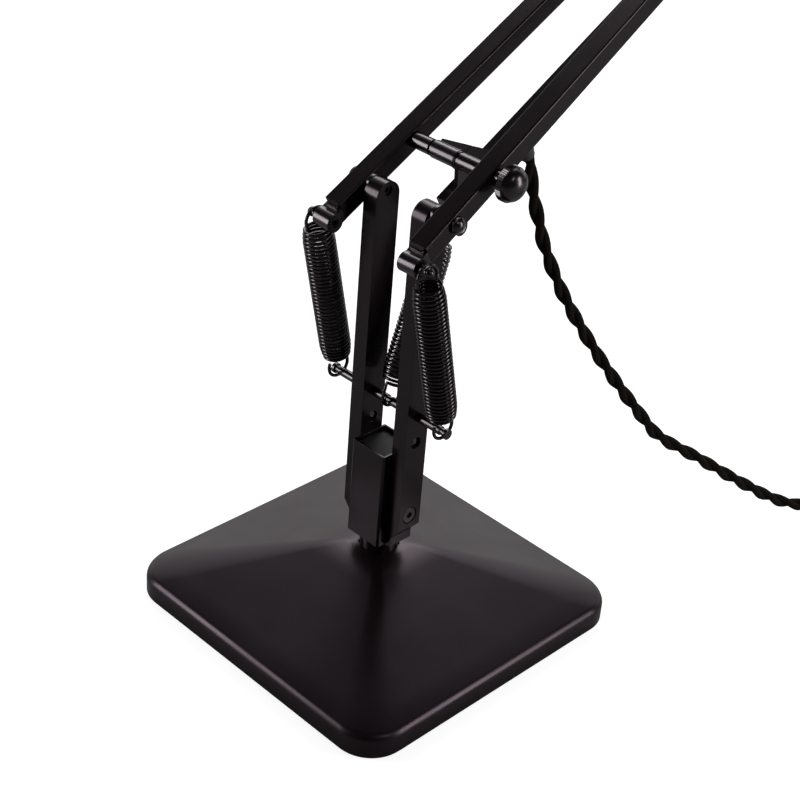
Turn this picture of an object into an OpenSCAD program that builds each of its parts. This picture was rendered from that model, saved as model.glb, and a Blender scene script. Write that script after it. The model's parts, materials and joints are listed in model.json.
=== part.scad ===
// Spring-balanced desk lamp on a square weighted foot, with a pair of lower arms and a single upper arm.
// Frame: millimetres, +Z up, origin at the centre of the foot's underside, arm pivots along X,
// name plate side facing -Y, lower arms leaning back towards +Y.

/* [Foot] */
// Side of the square foot
foot_side = 180; // [150:1:220]
// Radius of the foot's upright corners
foot_corner_r = 21; // [12:1:30]
// Height of the foot's vertical rim
foot_rim_h = 13.5; // [12:0.5:17]
// Rounding of the rim's upper edge
foot_edge_r = 3.5; // [2:0.5:4.5]
// Height of the foot's flat top under the stem
foot_top_z = 38.5; // [36:0.5:42]
// Wall of the foot's cast shell
foot_wall = 3.5; // [2.5:0.5:4.5]
// Thickness of the felt under the foot
pad_t = 2; // [1:0.5:3]
// Thickness of the iron ballast plate
ballast_t = 9; // [6:0.5:10]

/* [Stem] */
// Gap between the two uprights
stem_gap = 22.2; // [20:0.2:24]
// Width of one upright along X
upright_w = 8.5; // [7:0.1:11]
// Depth of one upright along Y
upright_d = 14.7; // [12:0.1:18]
// Height of the underside of the stem
stem_foot_z = 47; // [44:1:52]
// Height of the main pivot
pivot_z = 231; // [200:1:260]
// Upright's head above the main pivot
upright_head = 4.6; // [3:0.2:9]
// Height of the spring rod
rod_z = 124; // [116:1:140]
// Depth of the stem cover along Y
cover_d = 22; // [20:0.2:24]
// Distance the stem cover is set forward of the pivots' plane
cover_y = 1.6; // [0:0.1:3]
// Height of the stem cover's open top
cover_top_z = 101; // [90:1:108]
// Sheet of the stem cover
cover_t = 1; // [0.8:0.1:1.4]
// Diameter of the swivel spigot
spigot_d = 12; // [10:0.5:14]
// Diameter of the swivel collar
collar_d = 20; // [18:1:24]

/* [Lower arms] */
// Lean of the lower arms above the level
arm_angle = 30.8; // [20:0.2:40]
// Length from the main pivot to the elbow
lower_len = 300; // [260:5:340]
// Main pivot to the tail pin
tail_len = 26; // [24:0.5:32]
// Drop of the tail pins under the lower arms' centre line
tail_drop = 1.6; // [0:0.1:2]
// Main pivot to the crossbar
cross_s = 30; // [28:0.5:36]
// Width of one arm bar along X
bar_w = 10.5; // [9:0.1:11]
// Depth of one arm bar
bar_d = 10.2; // [9.6:0.2:12]
// Wall of the arm tubes
bar_wall = 1.6; // [1.2:0.1:2]
// Distance from the middle to a bar's axis at the main pivot
bar_x = 26.95; // [26:0.05:29]
// Inward taper of each arm
bar_taper = 1.7; // [1:0.05:2]
// Diameter of the main pivot bolts
pivot_d = 5; // [4:0.5:6]
// Diameter of the crossbar's shaft
cross_d = 5; // [4:0.5:6]
// Diameter of the crossbar's spacers
spacer_d = 8; // [7.4:0.2:9]
// Diameter of the knob's rim
knob_d = 17.4; // [15:0.2:20]
// Diameter of the tail pins
tail_pin_d = 4; // [3:0.5:4.5]

/* [Springs] */
// Diameter of the spring rod
rod_d = 4.6; // [4:0.2:5.4]
// Distance from the middle to each outer spring
spring_x = 36.4; // [36:0.1:38.4]
// Outer radius of the coils
coil_r = 8.2; // [7.6:0.1:9.2]
// Thickness of the spring wire
wire_d = 1.7; // [1.4:0.1:2]
// Mean radius of the springs' eyes
eye_r = 4.1; // [4:0.1:4.8]
// Number of turns drawn on the outer springs
outer_turns = 36; // [24:1:44]
// Number of turns drawn on the middle spring
middle_turns = 34; // [24:1:46]

/* [Balance linkage] */
// Crossbar to the link's lower pin
link_r = 16; // [16:0.5:19]
// Crossbar to the middle spring's pin
lever_r = 34; // [31:0.5:37]
// Direction of the lever from the arms' line
lever_angle = 243; // [238:1:248]
// Angle of the link bar's arm on the crank, from the lower arm, degrees
link_angle = 285; // [280:1:290]
// Width and depth of the link bar
link_w = 6.4; // [6:0.2:8]
// Distance from the middle to the link bar's axis
link_x = 4.7; // [4.5:0.1:5.2]
// Length of the link bar below its lower pin
link_tail = 20; // [8:0.5:20]
// Diameter of the linkage pins
link_pin_d = 4; // [3:0.5:5]

/* [Upper arm] */
// Direction of the upper arm, measured from +Y
upper_angle = 148; // [140:1:155]
// Length from the elbow to the shade's pivot
upper_len = 300; // [260:5:340]
// Width and depth of the upper arm's tube
upper_w = 12; // [11:0.2:13]
// Diameter of the elbow bolt
elbow_d = 6; // [5:0.5:7]

/* [Shade] */
// Lean of the shade's axis from straight down
shade_angle = -24; // [-40:1:0]
// Distance from the shade's pivot to its axis
shade_reach = 36; // [34:1:42]
// Radius of the shade's mouth
shade_r = 74; // [65:1:80]
// Length of the shade's cone
shade_len = 82; // [74:1:90]
// Radius of the shade's neck
neck_r = 24; // [23:0.5:27]
// Sheet of the shade
shade_t = 1.2; // [1:0.1:1.6]
// Radius of the bulb
bulb_r = 24; // [20:0.5:27]

/* [Cord] */
// Diameter of the twisted cord
cord_d = 6.6; // [6:0.2:7.4]
// Place of the cord's gland along the right arm
gland_s = 53; // [48:1:60]

/* [Hidden] */

$fn = 48;
// Gap between faces that sit together but belong to moving neighbours
seat = 0.3;
// Radial clearance of a shaft in its hole
fit = 0.05;
// Overlap that carries a cut past a face
cut = 1;
satin_black = [0.10, 0.095, 0.10];
gloss_black = [0.06, 0.06, 0.065];
steel = [0.62, 0.62, 0.64];
spring_black = [0.09, 0.085, 0.09];

// ---- derived places ----
upright_in = stem_gap / 2;
upright_out = upright_in + upright_w;
upright_top = pivot_z + upright_head;
bar_in = bar_x - bar_w / 2;
bar_out = bar_x + bar_w / 2;
bolt_head_t = 1.2;
cross_in = bar_in - cross_s * sin(bar_taper);
cross_out = bar_out - cross_s * sin(bar_taper);
elbow_in = bar_in - lower_len * sin(bar_taper);
elbow_out = bar_out - lower_len * sin(bar_taper);
pin_groove_r = tail_pin_d / 2 - 0.3;
rod_groove_r = rod_d / 2 - 0.5;
eye_in = eye_r - wire_d / 2;
hub_r = spacer_d / 2 + 0.4;
plate_x = link_x + link_w / 2 + seat;
plate_t = 2.4;

// Places in the Y-Z plane, as [y, z]
function polar(r, a) = [r * cos(a), r * sin(a)];
pivot_p = [0, pivot_z];
rod_p = [0, rod_z];
tail_p = pivot_p + polar(-tail_len, arm_angle) - polar(tail_drop, arm_angle + 90);
cross_p = pivot_p + polar(cross_s, arm_angle);
elbow_p = pivot_p + polar(lower_len, arm_angle);
lever_p = cross_p + polar(lever_r, arm_angle + lever_angle);
head_p = elbow_p + polar(upper_len, upper_angle);

// ---- frames ----
// Turns X-Y-Z so that Y runs at an angle a above the level, from point p in the Y-Z plane
module at_yz(p, a = 0) {
    translate([0, p[0], p[1]]) rotate([a, 0, 0]) children();
}
// Frame of the lower arms: X across, Y along the arm from the main pivot, Z square to it
module arm_frame() {
    at_yz(pivot_p, arm_angle) children();
}
module both_sides() {
    children();
    mirror([1, 0, 0]) children();
}
// Cylinder along X from x0 to x1 about a point p = [y, z]
module x_rod(x0, x1, r, p = [0, 0]) {
    translate([x0, p[0], p[1]]) rotate([0, 90, 0]) cylinder(h = x1 - x0, r = r);
}
// Rectangle w by d with round corners, built of true arcs
module soft_rect(w, d, r) {
    square([w - 2 * r, d], center = true);
    square([w, d - 2 * r], center = true);
    for (x = [-1, 1], y = [-1, 1])
        translate([x * (w / 2 - r), y * (d / 2 - r)]) circle(r = r);
}
// Bar along +Y with round edges
module y_bar(w, d, y0, y1, r) {
    translate([0, y0, 0]) rotate([-90, 0, 0]) linear_extrude(height = y1 - y0) soft_rect(w, d, r);
}
// Domed screw head of radius r, height h, standing on x = 0 and facing +X
module dome_x(r, h) {
    ball = (r * r + h * h) / (2 * h);
    rotate([0, 90, 0]) intersection() {
        translate([0, 0, h - ball]) sphere(r = ball);
        cylinder(h = h, r = r);
    }
}
// The same head facing +Z
module dome_up(r, h) {
    rotate([0, -90, 0]) dome_x(r, h);
}
// Hexagon socket cut, w across flats, opening towards +X from depth t
module hex_x(w, t) {
    translate([-t, 0, 0]) rotate([0, 90, 0]) cylinder(h = t + cut, r = w / sqrt(3), $fn = 6);
}

// ---- foot ----
// Radius of the level crown the collar stands on
crown_r = 14;
// The foot's form from height z0, drawn in by g at the sides and lowered by g on top
module foot_form(g, z0) {
    half = foot_side / 2 - foot_corner_r;
    rim = foot_rim_h - g;
    hull() {
        for (x = [-half, half], y = [-half, half]) translate([x, y, z0])
            for (a = [0, 30, 60, 90])
                cylinder(h = rim - foot_edge_r * (1 - sin(a)) - z0,
                         r = foot_corner_r - g - foot_edge_r * (1 - cos(a)), $fn = 40);
        translate([0, 0, z0])
            cylinder(h = foot_top_z - 2 * g - z0, r = crown_r - g, $fn = 40);
    }
}
ballast_side = foot_side - 2 * foot_wall - 14;
ballast_top = pad_t + ballast_t;
spigot_low = ballast_top + 2;
screw_x = foot_side * 0.29;
screw_r = 2.2;
screw_bite = 6;
hub_low = foot_top_z - 2 * foot_wall;
module at_screws() {
    for (x = [-screw_x, screw_x], y = [-screw_x, screw_x]) translate([x, y, 0]) children();
}
module base_shell() {
    color(satin_black) difference() {
        union() {
            difference() {
                foot_form(0, pad_t);
                foot_form(foot_wall, pad_t - cut);
            }
            at_screws() translate([0, 0, ballast_top]) cylinder(h = screw_bite + 2, r = 6);
            translate([0, 0, hub_low]) cylinder(h = foot_top_z - hub_low, r = crown_r);
        }
        cylinder(h = foot_top_z + cut, r = spigot_d / 2 + 2);
        at_screws() cylinder(h = ballast_top + screw_bite, r = screw_r);
    }
}
module base_weight() {
    color(steel) difference() {
        translate([0, 0, pad_t]) linear_extrude(height = ballast_t)
            soft_rect(ballast_side, ballast_side, foot_corner_r - foot_wall);
        cylinder(h = foot_top_z, r = crown_r - 1);
        at_screws() cylinder(h = foot_top_z, r = screw_r);
    }
}
module base_pad() {
    color([0.16, 0.16, 0.16]) linear_extrude(height = pad_t)
        soft_rect(foot_side - 3, foot_side - 3, foot_corner_r - 1.5);
}
module base_screws() {
    color(steel) at_screws() translate([0, 0, pad_t])
        cylinder(h = ballast_t + screw_bite - 0.5, r = screw_r);
}
module swivel_collar() {
    color(gloss_black) difference() {
        union() {
            translate([0, 0, foot_top_z]) cylinder(h = stem_foot_z - seat - foot_top_z, r = collar_d / 2);
            translate([0, 0, hub_low]) cylinder(h = foot_top_z - hub_low, r = spigot_d / 2 + 2);
        }
        cylinder(h = stem_foot_z, r = spigot_d / 2 + fit);
    }
}
module swivel_spigot() {
    color(steel) translate([0, 0, spigot_low])
        cylinder(h = stem_foot_z + spigot_bite - spigot_low, r = spigot_d / 2);
}
module spigot_nut() {
    nut_h = 6.4;
    flange_h = 1.6;
    color(steel) translate([0, 0, hub_low - seat - nut_h - flange_h]) difference() {
        union() {
            cylinder(h = nut_h, r = 10, $fn = 6);
            translate([0, 0, nut_h]) cylinder(h = flange_h, r = spigot_d / 2 + 4.6);
        }
        translate([0, 0, -cut]) cylinder(h = nut_h + flange_h + 2 * cut, r = spigot_d / 2);
    }
}

// ---- stem ----
block_top = cover_top_z - 2.4;
block_w = stem_gap - 2 * cover_t;
block_d = cover_d - 2 * cover_t;
spigot_bite = 14;
big_bolt_z = 66;
big_bolt_r = 2.5;
grub_r = 3.1;
screw_z = 109;
cheese_d = 9.2;
module stem_block() {
    color(satin_black) difference() {
        translate([-block_w / 2, -block_d / 2 - cover_y, stem_foot_z])
            cube([block_w, block_d, block_top - stem_foot_z]);
        translate([0, 0, stem_foot_z - cut]) cylinder(h = spigot_bite + cut, r = spigot_d / 2);
        x_rod(-stem_gap, stem_gap, big_bolt_r, [0, big_bolt_z]);
    }
}
module stem_cover() {
    color(satin_black) difference() {
        translate([0, -cover_y, stem_foot_z]) linear_extrude(height = cover_top_z - stem_foot_z)
            soft_rect(stem_gap, cover_d, 1.2);
        translate([-block_w / 2, -block_d / 2 - cover_y, stem_foot_z - cut])
            cube([block_w, block_d, cover_top_z - stem_foot_z + 2 * cut]);
        x_rod(-stem_gap, stem_gap, big_bolt_r, [0, big_bolt_z]);
    }
}
upright_cham_x = 5.1;
upright_cham_z = 6.2;
upright_cham_top = 58.6;
module upright() {
    head_z = upright_top - upright_d / 2;
    difference() {
        translate([upright_in, 0, 0]) rotate([90, 0, 90]) linear_extrude(height = upright_w) {
            translate([-upright_d / 2, stem_foot_z]) square([upright_d, head_z - stem_foot_z]);
            translate([0, head_z]) circle(r = upright_d / 2);
        }
        // outer corner of the foot, cut back to clear the collar
        translate([0, upright_d, 0]) rotate([90, 0, 0]) linear_extrude(height = 2 * upright_d)
            polygon([[upright_out - upright_cham_x, stem_foot_z - cut],
                     [upright_out - upright_cham_x, upright_cham_top - upright_cham_z],
                     [upright_out, upright_cham_top],
                     [upright_out + cut, upright_cham_top],
                     [upright_out + cut, stem_foot_z - cut]]);
        x_rod(0, upright_out + cut, pivot_d / 2, pivot_p);
        x_rod(0, upright_out + cut, rod_d / 2, rod_p);
        x_rod(0, upright_out + cut, big_bolt_r, [0, big_bolt_z]);
        x_rod(upright_out - 1.6, upright_out + cut, cheese_d / 2, [0, big_bolt_z]);
        x_rod(0, upright_out + cut, grub_r, [0, screw_z]);
    }
}
module upright_left() {
    color(satin_black) mirror([1, 0, 0]) upright();
}
module upright_right() {
    color(satin_black) upright();
}
module stem_bolts() {
    color(gloss_black) difference() {
        union() {
            x_rod(-upright_out + 1.6, upright_out - 1.6, big_bolt_r, [0, big_bolt_z]);
            both_sides() x_rod(upright_out - 1.6, upright_out - 0.2, cheese_d / 2 - 0.4, [0, big_bolt_z]);
        }
        both_sides() translate([upright_out - 0.2, 0, big_bolt_z]) hex_x(3, 1.6);
    }
}
// Grub screws that clamp the spring rod's uprights, seen in their holes
module stem_screws() {
    color(gloss_black) both_sides() translate([0, 0, screw_z]) {
        x_rod(upright_in + 1, upright_out - 1.8, grub_r);
        translate([upright_out - 1.8, 0, 0]) dome_x(grub_r, 1);
        translate([upright_in + 1, 0, 0]) mirror([1, 0, 0]) dome_x(grub_r, 0.6);
    }
}
rod_half = 39.6;
// Slack either side of a wire eye in its groove
eye_slack = 0.4;
module spring_rod() {
    groove_half = wire_d / 2 + eye_slack;
    color(gloss_black) at_yz(rod_p) {
        both_sides() {
            x_rod(groove_half, spring_x - groove_half, rod_d / 2);
            x_rod(spring_x + groove_half, rod_half, rod_d / 2 + 0.4);
        }
        x_rod(-rod_half + cut, rod_half - cut, rod_groove_r);
    }
}

// ---- lower arms ----
bar_end_s = -tail_len + 6.4;
neck_d = bar_d - 3.4;
plug_d = bar_d - 2 * bar_wall;
plug_w = bar_w - 2 * bar_wall;
end_r = bar_d / 2 - 0.3;
plug_len = 13;
elbow_bar_s = lower_len - 7;
// Frame of the right-hand bar: tapers inward as it rises
module bar_frame() {
    arm_frame() translate([bar_x, 0, 0]) rotate([0, 0, bar_taper]) children();
}
module arm_bar() {
    difference() {
        bar_frame() difference() {
            y_bar(bar_w, bar_d, bar_end_s, elbow_bar_s, 0.9);
            y_bar(plug_w, plug_d, bar_end_s - cut, elbow_bar_s + cut, 0.5);
        }
        arm_frame() {
            x_rod(0, bar_out + 9, pivot_d / 2 + fit);
            x_rod(0, bar_out + 9, cross_d / 2 + fit, [cross_s, 0]);
        }
    }
}
module arm_bar_left() {
    color(satin_black) mirror([1, 0, 0]) arm_bar();
}
module arm_bar_right() {
    color(satin_black) difference() {
        arm_bar();
        bar_frame() translate([0, gland_s, -bar_d]) cylinder(h = bar_d, r = cord_d / 2 + 0.1);
    }
}
// Barrel-ended plug in the tail of each bar, carrying the tail pin
module tail_end() {
    difference() {
        bar_frame() {
            y_bar(plug_w - 0.1, plug_d - 0.1, bar_end_s - 2, bar_end_s + plug_len, 0.5);
            translate([-bar_w / 2, -tail_len, 0.3 - bar_d / 2])
                cube([bar_w, tail_len + bar_end_s - 0.05, neck_d]);
            x_rod(-bar_w / 2, bar_w / 2, end_r, [-tail_len, -tail_drop]);
        }
        arm_frame() x_rod(0, bar_out + 9, pivot_d / 2 + fit);
        arm_frame() x_rod(0, bar_out + 9, tail_pin_d / 2, [-tail_len, -tail_drop]);
    }
}
module tail_end_left() {
    color(gloss_black) mirror([1, 0, 0]) tail_end();
}
module tail_end_right() {
    color(gloss_black) tail_end();
}
pin_in = bar_in + tail_len * sin(bar_taper);
module tail_pins() {
    color(gloss_black) arm_frame() both_sides() translate([0, -tail_len, -tail_drop]) {
        difference() {
            union() {
                x_rod(pin_in + 0.6, spring_x - wire_d / 2 - eye_slack, tail_pin_d / 2);
                x_rod(bar_out + 1.2, spring_x - wire_d / 2 - eye_slack, tail_pin_d / 2 + 0.7);
                x_rod(bar_out, spring_x + wire_d / 2 + 1, pin_groove_r);
                x_rod(spring_x + wire_d / 2 + 0.35, spring_x + wire_d / 2 + 1.2, tail_pin_d / 2 + 0.4);
                translate([spring_x + wire_d / 2 + 1.2, 0, 0]) dome_x(tail_pin_d / 2 + 0.4, 2);
            }
            translate([pin_in + 0.6, 0, 0]) mirror([1, 0, 0]) hex_x(2.5, 1.4);
        }
    }
}
module pivot_bolts() {
    color(gloss_black) at_yz(pivot_p) both_sides() difference() {
        union() {
            x_rod(upright_in + 1.2, bar_out + 0.2, pivot_d / 2);
            x_rod(bar_out + 0.2, bar_out + 0.2 + bolt_head_t, 4.2);
            translate([bar_out + 0.2 + bolt_head_t, 0, 0]) dome_x(3.9, 2.2);
        }
        translate([upright_in + 1.2, 0, 0]) mirror([1, 0, 0]) hex_x(2.5, 1.4);
    }
}
module pivot_washers() {
    color(gloss_black) at_yz(pivot_p) both_sides() difference() {
        x_rod(upright_out, bar_in - 0.2, 5);
        x_rod(0, bar_out, pivot_d / 2);
    }
}
knob_in = cross_out + 3.6;
module crossbar_shaft() {
    color(gloss_black) arm_frame() translate([0, cross_s, 0]) {
        x_rod(-cross_out - 0.6, knob_in + 5, cross_d / 2);
        mirror([1, 0, 0]) translate([cross_out + 0.6, 0, 0]) dome_x(4, 2.2);
    }
}
hub_half = 8;
module crossbar_spacers() {
    color(gloss_black) arm_frame() translate([0, cross_s, 0]) difference() {
        union() {
            x_rod(-cross_in + 0.3, -hub_half - 1.5, spacer_d / 2);
            x_rod(-hub_half - 1.2, -hub_half - 0.3, spacer_d / 2 - 0.5);
            x_rod(cross_out + 0.4, knob_in - 0.3, spacer_d / 2);
        }
        x_rod(-bar_out, bar_out + 9, cross_d / 2);
    }
}
module tension_knob() {
    knurls = 40;
    dome_h = 5.2;
    rim_h = 3.6;
    color(gloss_black) arm_frame() translate([knob_in, cross_s, 0]) difference() {
        union() {
            rotate([0, 90, 0]) cylinder(h = 2, r1 = knob_d / 2 - 2.4, r2 = knob_d / 2 - 0.5);
            x_rod(2, 2 + rim_h, knob_d / 2 - 0.3);
            for (k = [0 : knurls - 1]) rotate([k * 360 / knurls, 0, 0])
                translate([2, -0.4, 0]) cube([rim_h, 0.8, knob_d / 2]);
            translate([2 + rim_h, 0, 0]) dome_x(knob_d / 2 - 0.4, dome_h);
        }
        x_rod(-cut, 5, cross_d / 2 + fit);
    }
}

// ---- balance linkage ----
web_t = 3;
// Web behind the hub: shallow at its far end, deeper towards the crank's plate
module crank_web(x0, x1, near, far) {
    translate([0, 0, -web_t / 2]) linear_extrude(height = web_t)
        polygon([[x0, 0], [x1, 0], [x1, far], [x0, near]]);
}
module crank_hub() {
    color(gloss_black) arm_frame() translate([0, cross_s, 0]) difference() {
        union() {
            x_rod(-hub_half, hub_half, hub_r);
            crank_web(-hub_half, hub_half, hub_r + 1.2, hub_r + 4.2);
            // ring left standing at the hub's right end
            x_rod(hub_half - 1.6, hub_half - 0.8, hub_r + 0.3);
        }
        x_rod(-stem_gap, stem_gap, cross_d / 2);
        at_grub() cylinder(h = hub_r + cut, r = 1.5);
    }
}
module at_grub() {
    rotate([150, 0, 0]) children();
}
// Screw that holds the hub on its shaft
module grub_screw() {
    color(gloss_black) arm_frame() translate([0, cross_s, 0]) at_grub() difference() {
        translate([0, 0, cross_d / 2]) cylinder(h = hub_r - cross_d / 2 - 0.3, r = 1.5);
        translate([0, 0, hub_r - 1.4]) cylinder(h = 2, r = 0.9, $fn = 6);
    }
}
lever_v = polar(lever_r, lever_angle);
link_v = polar(link_r, link_angle);
// Flat arm of the crank with a round end, at an angle a from the lower arm
module crank_arm(a, reach) {
    half_w = 4;
    rotate([a, 0, 0]) {
        translate([plate_x, 0, -half_w]) cube([plate_t, reach, 2 * half_w]);
        x_rod(plate_x, plate_x + plate_t, half_w, [reach, 0]);
    }
}
module balance_crank() {
    color(gloss_black) arm_frame() translate([0, cross_s, 0]) difference() {
        union() {
            x_rod(hub_half + 0.3, cross_in - 0.3, spacer_d / 2);
            crank_web(hub_half + 0.3, cross_in - 0.6, hub_r + 4.2, hub_r + 6.6);
            crank_arm(lever_angle, lever_r);
            crank_arm(link_angle, link_r);
        }
        x_rod(-bar_out, bar_out, cross_d / 2);
        for (v = [lever_v, link_v]) x_rod(0, bar_out, link_pin_d / 2, v);
    }
}
module crank_pins() {
    color(steel) arm_frame() translate([0, cross_s, 0]) {
        translate([0, link_v[0], link_v[1]]) {
            x_rod(link_x - link_w / 2 - 1.2, plate_x + plate_t + 0.8, link_pin_d / 2);
            x_rod(link_x - link_w / 2 - 2, link_x - link_w / 2 - seat, link_pin_d / 2 + 1.2);
        }
        translate([0, lever_v[0], lever_v[1]]) {
            x_rod(-3, -wire_d / 2 - eye_slack, link_pin_d / 2 + 0.4);
            x_rod(-2, plate_x, link_pin_d / 2 - 0.4);
            x_rod(wire_d / 2 + eye_slack, plate_x + plate_t + 0.8, link_pin_d / 2);
        }
    }
}
link_low = cross_s + link_v[0];
link_high = lower_len + link_v[0];
module link_bar() {
    color(satin_black) arm_frame() translate([link_x, 0, link_v[1]]) difference() {
        union() {
            y_bar(link_w, link_w, link_low - link_tail, link_high - 0.8, 0.7);
            x_rod(-link_w / 2 + 0.1, link_w / 2 - 0.1, link_w / 2 - 0.1, [link_high, 0]);
        }
        for (s = [link_low, link_high]) x_rod(-link_w, link_w, link_pin_d / 2 + fit, [s, 0]);
    }
}

// ---- elbow ----
elbow_end_r = bar_d / 2;
module elbow_plug() {
    difference() {
        bar_frame() {
            y_bar(plug_w - 0.1, plug_d - 0.1, elbow_bar_s - plug_len, elbow_bar_s, 0.5);
            translate([-bar_w / 2, elbow_bar_s, -bar_d / 2])
                cube([bar_w, lower_len - elbow_bar_s, bar_d]);
            x_rod(-bar_w / 2, bar_w / 2, elbow_end_r, [lower_len, 0]);
        }
        arm_frame() x_rod(0, bar_out + 9, elbow_d / 2, [lower_len, 0]);
    }
}
module elbow_plugs() {
    color(gloss_black) both_sides() elbow_plug();
}
module elbow_bolt() {
    color(gloss_black) at_yz(elbow_p) {
        x_rod(-elbow_out - 0.5, elbow_out + 0.5, elbow_d / 2);
        both_sides() translate([elbow_out + 0.4, 0, 0]) {
            x_rod(0, 1.4, 5.4);
            translate([1.4, 0, 0]) dome_x(5, 2.8);
        }
    }
}
module elbow_spacers() {
    color(gloss_black) at_yz(elbow_p) both_sides() difference() {
        x_rod(upper_w / 2 + seat, elbow_in - 0.2, 6);
        x_rod(0, bar_out, elbow_d / 2);
    }
}

// ---- upper arm ----
upper_wall = 1.6;
tail_r = upper_w / 2;
fork_len = 24;
upper_tube_end = upper_len - fork_len;
lug_t = 4.4;
lug_turn = arm_angle + link_angle - upper_angle;
module upper_frame() {
    at_yz(elbow_p, upper_angle) children();
}
module upper_arm_tube() {
    color(satin_black) upper_frame() difference() {
        y_bar(upper_w, upper_w, 10, upper_tube_end, 1);
        y_bar(upper_w - 2 * upper_wall, upper_w - 2 * upper_wall, 10 - cut, upper_tube_end + cut, 0.5);
    }
}
// Solid tail of the upper arm with the lug that the link bar drives
module elbow_lug() {
    color(gloss_black) upper_frame() difference() {
        union() {
            y_bar(upper_w - 2 * upper_wall - 0.1, upper_w - 2 * upper_wall - 0.1, 0, 26, 0.5);
            translate([-upper_w / 2, 0, -upper_w / 2]) cube([upper_w, 9.95, upper_w]);
            x_rod(-upper_w / 2, upper_w / 2, tail_r);
            rotate([lug_turn, 0, 0]) translate([link_x - link_w / 2 - seat - lug_t, 0, 0]) {
                translate([0, 0, -4.5]) cube([lug_t, link_r, 9]);
                x_rod(0, lug_t, 4.5, [link_r, 0]);
            }
        }
        x_rod(-upper_w, upper_w, elbow_d / 2 + fit);
        rotate([lug_turn, 0, 0]) x_rod(-upper_w, upper_w, link_pin_d / 2, [link_r, 0]);
    }
}
module lug_pin() {
    lug_x = link_x - link_w / 2 - seat - lug_t;
    color(steel) at_yz(elbow_p, arm_angle + link_angle) translate([0, link_r, 0]) {
        x_rod(lug_x - 0.8, link_x + link_w / 2 + 1.2, link_pin_d / 2);
        x_rod(link_x + link_w / 2 + seat, link_x + link_w / 2 + 2, link_pin_d / 2 + 1.2);
    }
}
ear_t = 2.6;
ear_gap = 7;
ear_r = 7;
// Forked end piece that carries the shade
module arm_end_fork() {
    color(gloss_black) upper_frame() difference() {
        union() {
            y_bar(upper_w - 2 * upper_wall - 0.1, upper_w - 2 * upper_wall - 0.1,
                  upper_tube_end - 12, upper_tube_end + 2, 0.5);
            y_bar(upper_w + 0.6, upper_w + 0.6, upper_tube_end + 0.05, upper_tube_end + 9, 1.2);
            for (x = [-1, 1]) translate([x * (ear_gap + ear_t) / 2, 0, 0]) {
                translate([-ear_t / 2, upper_tube_end + 8, -ear_r + 1])
                    cube([ear_t, fork_len - 8, 2 * ear_r - 2]);
                x_rod(-ear_t / 2, ear_t / 2, ear_r, [upper_len, 0]);
            }
        }
        x_rod(-upper_w, upper_w, 2.5, [upper_len, 0]);
    }
}

// ---- shade ----
// Shade frame: origin at the shade's pivot, Z against the light's direction
module shade_frame() {
    at_yz(head_p, shade_angle) children();
}
tongue_t = ear_gap - 2 * seat;
holder_r = 19;
holder_top = 30;
holder_low = -16;
holder_cap_z = holder_top - 3.5;
switch_top = 4;
module shade_pivot_bolt() {
    bolt_half = ear_gap / 2 + ear_t;
    color(steel) at_yz(head_p) {
        x_rod(-bolt_half - 1, bolt_half + 1, 2.5);
        x_rod(-bolt_half - 3.4, -bolt_half, 4.6);
        x_rod(bolt_half, bolt_half + 1.6, 4.6);
        x_rod(bolt_half + 1.6, bolt_half + 11, 7);
    }
}
// Turned housing over the lampholder, with the tongue that hangs in the fork
module shade_holder() {
    color(satin_black) shade_frame() difference() {
        union() {
            translate([0, -shade_reach, 0]) rotate_extrude() polygon([
                [0, holder_low], [holder_r, holder_low], [holder_r, holder_top - 6],
                [holder_r - 3, holder_top - 1.5], [holder_r - 6, holder_top], [0, holder_top]]);
            translate([-tongue_t / 2, -shade_reach + holder_r - 2, -6])
                cube([tongue_t, shade_reach - holder_r + 2, 12]);
            x_rod(-tongue_t / 2, tongue_t / 2, 6);
        }
        x_rod(-upper_w, upper_w, 2.5 + fit);
        translate([0, -shade_reach, holder_low - cut])
            cylinder(h = holder_cap_z - holder_low + cut, r = holder_r - 2);
        translate([0, -shade_reach, 0]) cylinder(h = holder_top + cut, r = 5 + fit);
    }
}
shoulder_z = holder_low;
mouth_z = shoulder_z - shade_len;
// Spun shade: flat crown, short neck and a flared skirt with a rolled lip
module shade() {
    skirt = [for (k = [0 : 12]) let (t = k / 12, e = pow(t, 0.72))
        [neck_r + (shade_r - neck_r) * e, shoulder_z - 10 - (shade_len - 10) * t]];
    outer = concat([[8, shoulder_z - 0.1], [neck_r - 1.5, shoulder_z - 0.1],
                    [neck_r, shoulder_z - 1.6]], skirt);
    inner = concat([for (p = skirt) [p[0] - shade_t, p[1]]],
                   []);
    lined = concat(outer, [[shade_r - shade_t, mouth_z]],
                   [for (k = [11 : -1 : 0]) inner[k]],
                   [[neck_r - shade_t, shoulder_z - 2.2], [neck_r - 2.2, shoulder_z - 0.1 - shade_t],
                    [8, shoulder_z - 0.1 - shade_t]]);
    color(satin_black) shade_frame() translate([0, -shade_reach, 0]) {
        rotate_extrude($fn = 96) polygon(lined);
        translate([0, 0, mouth_z]) rotate_extrude($fn = 96)
            translate([shade_r - shade_t / 2, 0]) circle(r = 1.3, $fn = 16);
    }
}
module shade_ring() {
    color([0.85, 0.85, 0.82]) shade_frame() translate([0, -shade_reach, shoulder_z - 0.2 - shade_t - 5])
        difference() {
            cylinder(h = 5, r = 20.5);
            translate([0, 0, -cut]) cylinder(h = 5 + 2 * cut, r = 15.5);
        }
}
holder_tube_r = 15.4;
lamp_z = shoulder_z - 12;
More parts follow.
